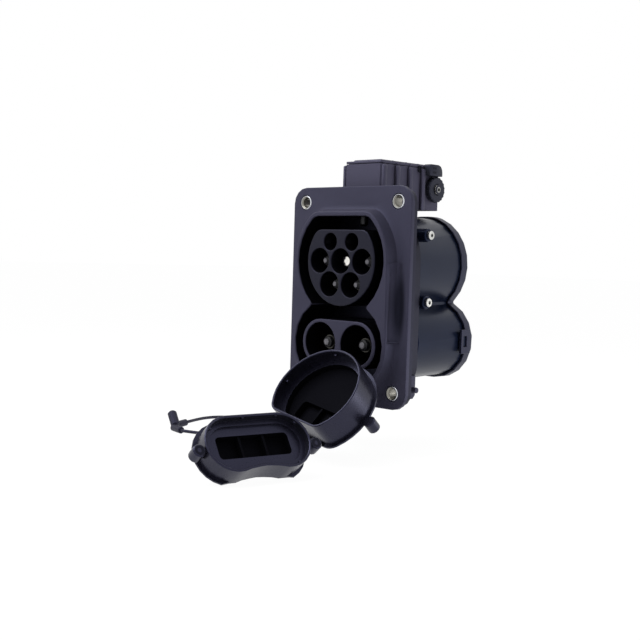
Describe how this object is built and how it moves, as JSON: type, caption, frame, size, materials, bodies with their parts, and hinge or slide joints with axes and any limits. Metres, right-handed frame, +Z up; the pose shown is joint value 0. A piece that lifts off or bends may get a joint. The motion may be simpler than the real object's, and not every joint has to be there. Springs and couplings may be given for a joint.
{
  "type": "charge port inlet",
  "caption": "Vehicle charging inlet: a flanged two-part socket for AC and DC plugs, with a lock actuator on top, a round rear housing and two loose dust caps on straps",
  "frame": {"origin": "on the front face of the flange, midway between the two upper mounting holes", "axes": "+X to the right seen from the front, +Y rearward into the vehicle, +Z up"},
  "size_m": [0.1362, 0.1945, 0.1522],
  "materials": {
    "housing_plastic": "moulded, fine satin grain",
    "rear_plastic": "moulded, semi-gloss blue-black",
    "cap_plastic": "moulded, satin",
    "actuator_plastic": "moulded, matte grey",
    "mechanism_plastic": "moulded, natural",
    "black_plastic": "moulded, matte black",
    "guard_plastic": "moulded, grey",
    "contact_silver": "turned and silver plated",
    "bushing_steel": "turned, bright",
    "screw_steel": "zinc plated",
    "gear_steel": "machined",
    "motor_steel": "drawn can",
    "seal_rubber": "moulded, matte",
    "strap_rubber": "moulded, matte"
  },
  "bodies": {
    "inlet": {"ac_cable_gland": "seal_rubber", "ac_cap": "cap_plastic", "ac_cap_strap": "strap_rubber", "ac_contact_carrier": "housing_plastic", "ac_contact_retainer": "mechanism_plastic", "contact_dc_minus": "contact_silver", "contact_dc_minus_touch_guard": "guard_plastic", "contact_dc_plus": "contact_silver", "contact_dc_plus_touch_guard": "guard_plastic", "contact_earth": "contact_silver", "contact_line_1": "contact_silver", "contact_line_1_touch_guard": "guard_plastic", "contact_line_2": "contact_silver", "contact_line_2_touch_guard": "guard_plastic", "contact_line_3": "contact_silver", "contact_line_3_touch_guard": "guard_plastic", "contact_neutral": "contact_silver", "contact_neutral_touch_guard": "guard_plastic", "contact_pilot": "contact_silver", "contact_proximity": "contact_silver", "cover_screw_1": "screw_steel", "cover_screw_2": "screw_steel", "cover_screw_3": "screw_steel", "cover_screw_4": "screw_steel", "dc_cable_gland_left": "seal_rubber", "dc_cable_gland_right": "seal_rubber", "dc_cap": "cap_plastic", "dc_cap_strap": "strap_rubber", "dc_contact_carrier": "housing_plastic", "dc_contact_retainer": "mechanism_plastic", "front_housing": "housing_plastic", "housing_seal": "seal_rubber", "lock_connector": "actuator_plastic", "lock_housing": "actuator_plastic", "lock_lid": "actuator_plastic", "lock_motor": "motor_steel", "lock_screw_left": "screw_steel", "lock_screw_right": "screw_steel", "mechanism_frame": "mechanism_plastic", "mounting_bushing_1": "bushing_steel", "mounting_bushing_2": "bushing_steel", "mounting_bushing_3": "bushing_steel", "mounting_bushing_4": "bushing_steel", "rear_cover": "rear_plastic", "rear_housing": "rear_plastic", "sensor_ac": "black_plastic", "sensor_dc_minus": "black_plastic", "sensor_dc_plus": "black_plastic", "strap_anchor": "strap_rubber"},
    "bolt": {"lock_bolt": "gear_steel"},
    "rack": {"rack_bar": "mechanism_plastic"},
    "release": {"release_shaft": "gear_steel", "release_disc": "black_plastic", "release_screw": "screw_steel"},
    "pinion": {"front_pinion": "mechanism_plastic"},
    "worm": {"motor_worm": "gear_steel"}
  },
  "joints": [
    {"name": "release_turn", "type": "hinge", "parent": "inlet", "child": "release", "pos_m": [0, 0.051, 0.0092], "axis": [1, 0, 0], "range_deg": [-68.75, 0]},
    {"name": "pinion_turn", "type": "hinge", "parent": "inlet", "child": "pinion", "pos_m": [0, 0.0184, 0.0092], "axis": [1, 0, 0], "range_deg": [-68.76, 0]},
    {"name": "rack_slide", "type": "slide", "parent": "inlet", "child": "rack", "axis": [0, 1, 0], "range_m": [-0.0048, 0]},
    {"name": "bolt_slide", "type": "slide", "parent": "inlet", "child": "bolt", "axis": [0, 0, 1], "range_m": [0, 0.0048]},
    {"name": "worm_turn", "type": "hinge", "parent": "inlet", "child": "worm", "pos_m": [-0.0005, 0.051, 0.0156], "axis": [0, 1, 0], "range_deg": [-1031.3, 0]}
  ],
  "couplings": [
    {"joint": "pinion_turn", "follows": "release_turn", "ratio": 1},
    {"joint": "rack_slide", "follows": "release_turn", "m_per_rad": 0.004},
    {"joint": "bolt_slide", "follows": "release_turn", "m_per_rad": -0.004},
    {"joint": "worm_turn", "follows": "release_turn", "ratio": 15}
  ]
}
